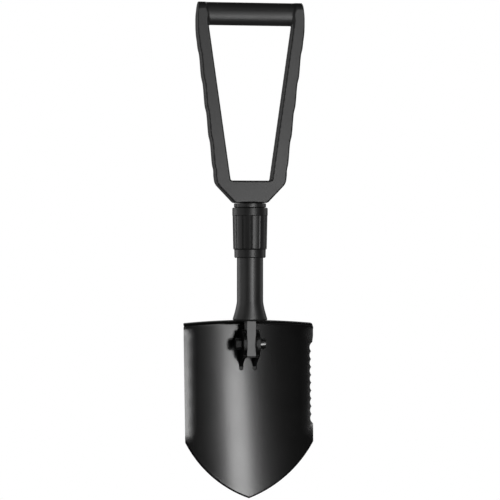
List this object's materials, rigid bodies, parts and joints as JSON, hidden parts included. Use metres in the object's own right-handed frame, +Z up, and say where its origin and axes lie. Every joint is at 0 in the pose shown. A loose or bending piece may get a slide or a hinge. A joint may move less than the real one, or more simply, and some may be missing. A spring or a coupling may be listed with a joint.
{
  "type": "folding camp shovel",
  "caption": "Compact folding camp shovel with a moulded D handle, a short tube shaft with a sliding lock collar and a pointed steel blade on a push-button hinge.",
  "frame": {"origin": "on the shaft's axis, half way down the bare tube between the collar and the flared ferrule, where a tool clip grips it", "axes": "+Z up the shaft towards the D grip, +Y out of the blade's back, +X to the right when the hollow of the blade faces the viewer"},
  "size_m": [0.1598, 0.0527, 0.6029],
  "materials": {
    "handle_nylon": "fine spark-eroded texture, satin",
    "collar_nylon": "satin moulded",
    "shaft_anodised": "black satin anodised",
    "blade_coating": "black semi-gloss powder coat",
    "hinge_black": "black semi-matt coat",
    "tang_steel": "grey bead-blasted",
    "pin_steel": "ground",
    "spring_steel": "drawn wire",
    "button_steel": "turned and blackened",
    "liner_acetal": "natural acetal",
    "bush_bronze": "sintered bronze"
  },
  "bodies": {
    "shaft": {"shaft_tube": "shaft_anodised", "lower_ferrule": "shaft_anodised", "blade_tang": "tang_steel", "tang_pin": "pin_steel", "handle_lug": "shaft_anodised", "lug_pin": "pin_steel", "neck_ring": "shaft_anodised", "spring_seat_ring": "spring_steel", "collar_spring": "spring_steel", "button_spring": "spring_steel"},
    "collar": {"lock_collar": "collar_nylon", "collar_liner": "liner_acetal", "collar_guide_pin": "pin_steel"},
    "handle": {"d_handle": "handle_nylon", "lock_tongue": "pin_steel", "hinge_bushes": "bush_bronze", "handle_hinge_pin": "pin_steel", "pin_clips": "spring_steel"},
    "blade": {"blade_plate": "blade_coating", "hinge_bracket": "hinge_black", "pivot_bolt": "hinge_black", "left_thrust_washer": "pin_steel", "right_thrust_washer": "pin_steel"},
    "button": {"push_button": "button_steel", "lock_gear": "button_steel"}
  },
  "joints": [
    {"name": "blade_fold", "type": "hinge", "parent": "shaft", "child": "blade", "pos_m": [0, -0.003, -0.077], "axis": [-1, 0, 0], "range_deg": [0, 177]},
    {"name": "handle_fold", "type": "hinge", "parent": "shaft", "child": "handle", "pos_m": [0, 0.022, 0.105], "axis": [-1, 0, 0], "range_deg": [0, 180]},
    {"name": "collar_slide", "type": "slide", "parent": "shaft", "child": "collar", "axis": [0, 0, -1], "range_m": [0, 0.02], "stiffness_N_per_m": 500, "springref_m": -0.006, "deforming": ["collar_spring"]},
    {"name": "button_press", "type": "slide", "parent": "shaft", "child": "button", "axis": [-1, 0, 0], "range_m": [0, 0.004], "stiffness_N_per_m": 1200, "springref_m": -0.0015, "deforming": ["button_spring"]}
  ]
}
